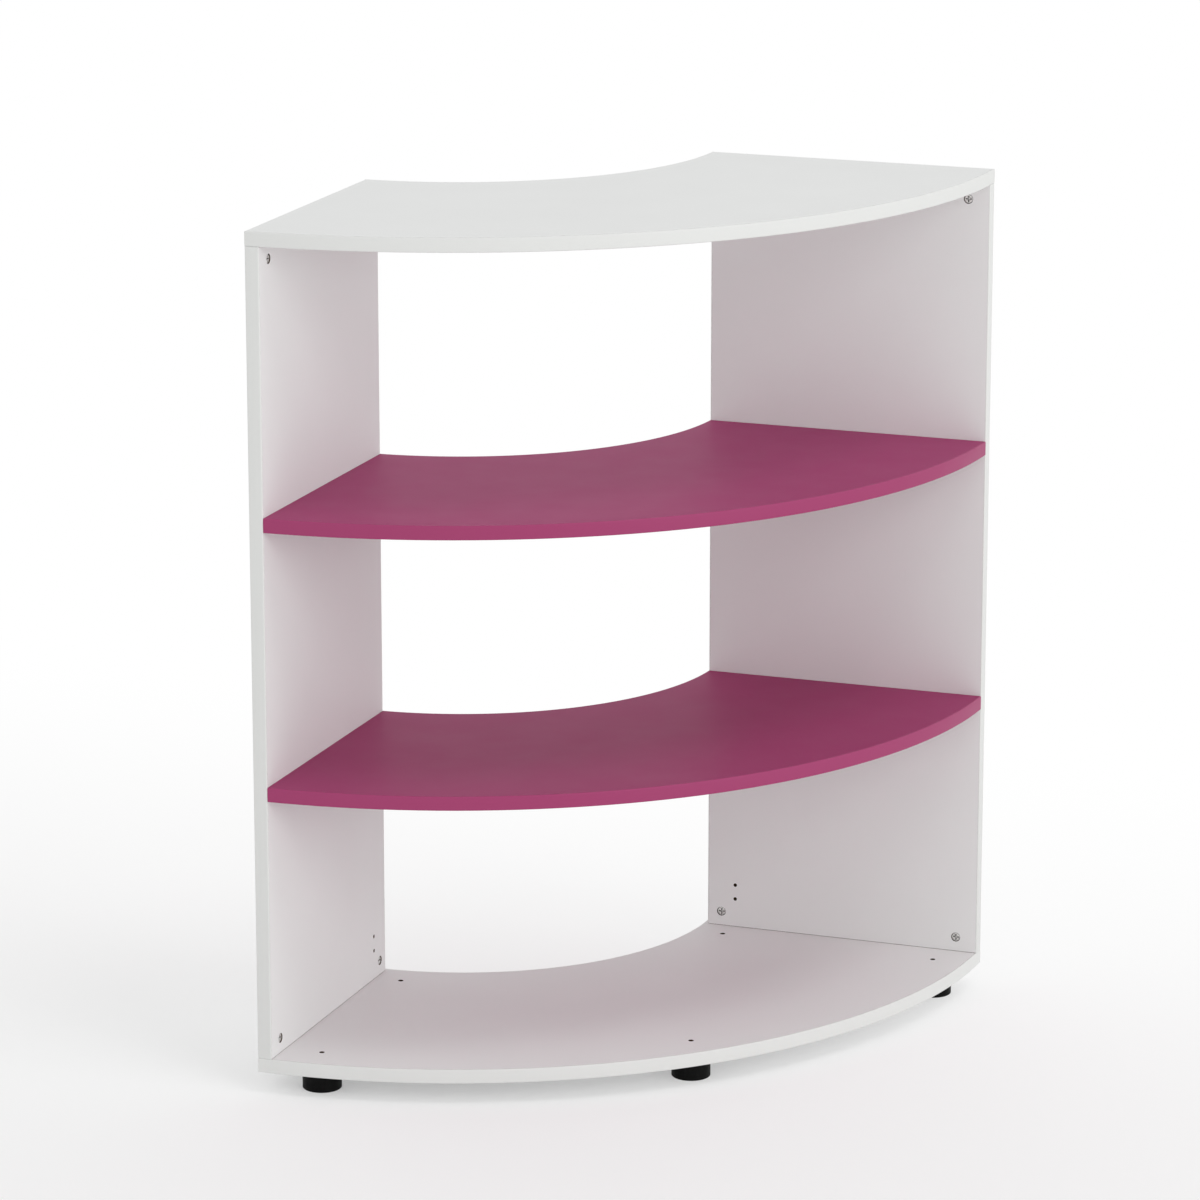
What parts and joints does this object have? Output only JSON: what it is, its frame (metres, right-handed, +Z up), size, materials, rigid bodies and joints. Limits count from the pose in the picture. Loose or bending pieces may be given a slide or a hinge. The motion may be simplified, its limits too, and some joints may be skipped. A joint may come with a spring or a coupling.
{
  "type": "curved corner shelf unit",
  "caption": "Open quarter-ring corner bookcase with a curved front and back, flat side panels joined by cam locks, coloured shelves and round levelling feet.",
  "frame": {"origin": "centre of the unit's plan box, on the floor under the feet", "axes": "+Z up; the convex front faces -Y; +X to the right seen from the front; X = 0 is the mirror plane"},
  "size_m": [1.0606, 0.4982, 1.128],
  "materials": {
    "white_board": "white melamine-faced chipboard, fine matt texture",
    "white_edging": "white plastic edge band, satin",
    "magenta_board": "magenta melamine-faced chipboard, satin",
    "magenta_edging": "magenta plastic edge band, satin",
    "zinc_cam": "die-cast zinc, bright tumbled",
    "plated_steel": "zinc-plated steel",
    "beech_dowel": "bare beech",
    "black_plastic": "black moulded plastic"
  },
  "bodies": {
    "carcass": {"top_board": "white_board", "base_board": "white_board", "left_panel": "white_board", "right_panel": "white_board", "top_front_band": "white_edging", "top_back_band": "white_edging", "top_left_end_band": "white_edging", "top_right_end_band": "white_edging", "base_front_band": "white_edging", "base_back_band": "white_edging", "base_left_end_band": "white_edging", "base_right_end_band": "white_edging", "left_panel_front_band": "white_edging", "left_panel_back_band": "white_edging", "right_panel_front_band": "white_edging", "right_panel_back_band": "white_edging", "upper_shelf": "magenta_board", "lower_shelf": "magenta_board", "upper_shelf_front_band": "magenta_edging", "upper_shelf_back_band": "magenta_edging", "lower_shelf_front_band": "magenta_edging", "lower_shelf_back_band": "magenta_edging", "top_cam_bolts": "plated_steel", "base_cam_bolts": "plated_steel", "top_dowels": "beech_dowel", "base_dowels": "beech_dowel", "upper_shelf_pins": "plated_steel", "lower_shelf_pins": "plated_steel", "foot_socket_front_left": "black_plastic", "foot_socket_front_middle": "black_plastic", "foot_socket_front_right": "black_plastic", "foot_socket_back_left": "black_plastic", "foot_socket_back_right": "black_plastic"},
    "cam_left_top_front": {"cam_left_top_front": "zinc_cam"},
    "cam_left_top_back": {"cam_left_top_back": "zinc_cam"},
    "cam_right_top_front": {"cam_right_top_front": "zinc_cam"},
    "cam_right_top_back": {"cam_right_top_back": "zinc_cam"},
    "cam_left_bottom_front": {"cam_left_bottom_front": "zinc_cam"},
    "cam_left_bottom_back": {"cam_left_bottom_back": "zinc_cam"},
    "cam_right_bottom_front": {"cam_right_bottom_front": "zinc_cam"},
    "cam_right_bottom_back": {"cam_right_bottom_back": "zinc_cam"},
    "foot_screw_front_left": {"foot_screw_front_left": "plated_steel"},
    "foot_cup_front_left": {"foot_cup_front_left": "black_plastic"},
    "foot_screw_front_middle": {"foot_screw_front_middle": "plated_steel"},
    "foot_cup_front_middle": {"foot_cup_front_middle": "black_plastic"},
    "foot_screw_front_right": {"foot_screw_front_right": "plated_steel"},
    "foot_cup_front_right": {"foot_cup_front_right": "black_plastic"},
    "foot_screw_back_left": {"foot_screw_back_left": "plated_steel"},
    "foot_cup_back_left": {"foot_cup_back_left": "black_plastic"},
    "foot_screw_back_right": {"foot_screw_back_right": "plated_steel"},
    "foot_cup_back_right": {"foot_cup_back_right": "black_plastic"}
  },
  "joints": [
    {"name": "cam_left_top_front_turn", "type": "hinge", "parent": "carcass", "child": "cam_left_top_front", "pos_m": [-0.49568, -0.02169, 1.089], "axis": [0.7071, -0.7071, 0], "range_deg": [0, 180]},
    {"name": "cam_left_top_back_turn", "type": "hinge", "parent": "carcass", "child": "cam_left_top_back", "pos_m": [-0.25668, 0.21732, 1.089], "axis": [0.7071, -0.7071, 0], "range_deg": [0, 180]},
    {"name": "cam_right_top_front_turn", "type": "hinge", "parent": "carcass", "child": "cam_right_top_front", "pos_m": [0.49568, -0.02169, 1.089], "axis": [-0.7071, -0.7071, 0], "range_deg": [0, 180]},
    {"name": "cam_right_top_back_turn", "type": "hinge", "parent": "carcass", "child": "cam_right_top_back", "pos_m": [0.25668, 0.21732, 1.089], "axis": [-0.7071, -0.7071, 0], "range_deg": [0, 180]},
    {"name": "cam_left_bottom_front_turn", "type": "hinge", "parent": "carcass", "child": "cam_left_bottom_front", "pos_m": [-0.49568, -0.02169, 0.067], "axis": [0.7071, -0.7071, 0], "range_deg": [0, 180]},
    {"name": "cam_left_bottom_back_turn", "type": "hinge", "parent": "carcass", "child": "cam_left_bottom_back", "pos_m": [-0.25668, 0.21732, 0.067], "axis": [0.7071, -0.7071, 0], "range_deg": [0, 180]},
    {"name": "cam_right_bottom_front_turn", "type": "hinge", "parent": "carcass", "child": "cam_right_bottom_front", "pos_m": [0.49568, -0.02169, 0.067], "axis": [-0.7071, -0.7071, 0], "range_deg": [0, 180]},
    {"name": "cam_right_bottom_back_turn", "type": "hinge", "parent": "carcass", "child": "cam_right_bottom_back", "pos_m": [0.25668, 0.21732, 0.067], "axis": [-0.7071, -0.7071, 0], "range_deg": [0, 180]},
    {"name": "foot_cup_front_left_slide", "type": "slide", "parent": "carcass", "child": "foot_cup_front_left", "axis": [0, 0, -1], "range_m": [0, 0.015]},
    {"name": "foot_screw_front_left_turn", "type": "hinge", "parent": "carcass", "child": "foot_screw_front_left", "pos_m": [-0.447, -0.04301, 0], "axis": [0, 0, 1], "range_deg": [0, 3600]},
    {"name": "foot_cup_front_middle_slide", "type": "slide", "parent": "carcass", "child": "foot_cup_front_middle", "axis": [0, 0, -1], "range_m": [0, 0.015]},
    {"name": "foot_screw_front_middle_turn", "type": "hinge", "parent": "carcass", "child": "foot_screw_front_middle", "pos_m": [0.0055, -0.20311, 0], "axis": [0, 0, 1], "range_deg": [0, 3600]},
    {"name": "foot_cup_front_right_slide", "type": "slide", "parent": "carcass", "child": "foot_cup_front_right", "axis": [0, 0, -1], "range_m": [0, 0.015]},
    {"name": "foot_screw_front_right_turn", "type": "hinge", "parent": "carcass", "child": "foot_screw_front_right", "pos_m": [0.45049, -0.04013, 0], "axis": [0, 0, 1], "range_deg": [0, 3600]},
    {"name": "foot_cup_back_left_slide", "type": "slide", "parent": "carcass", "child": "foot_cup_back_left", "axis": [0, 0, -1], "range_m": [0, 0.015]},
    {"name": "foot_screw_back_left_turn", "type": "hinge", "parent": "carcass", "child": "foot_screw_back_left", "pos_m": [-0.24127, 0.18182, 0], "axis": [0, 0, 1], "range_deg": [0, 3600]},
    {"name": "foot_cup_back_right_slide", "type": "slide", "parent": "carcass", "child": "foot_cup_back_right", "axis": [0, 0, -1], "range_m": [0, 0.015]},
    {"name": "foot_screw_back_right_turn", "type": "hinge", "parent": "carcass", "child": "foot_screw_back_right", "pos_m": [0.24127, 0.18182, 0], "axis": [0, 0, 1], "range_deg": [0, 3600]}
  ],
  "couplings": [
    {"joint": "foot_screw_front_left_turn", "follows": "foot_cup_front_left_slide", "rad_per_m": 4188},
    {"joint": "foot_screw_front_middle_turn", "follows": "foot_cup_front_middle_slide", "rad_per_m": 4188},
    {"joint": "foot_screw_front_right_turn", "follows": "foot_cup_front_right_slide", "rad_per_m": 4188},
    {"joint": "foot_screw_back_left_turn", "follows": "foot_cup_back_left_slide", "rad_per_m": 4188},
    {"joint": "foot_screw_back_right_turn", "follows": "foot_cup_back_right_slide", "rad_per_m": 4188}
  ]
}
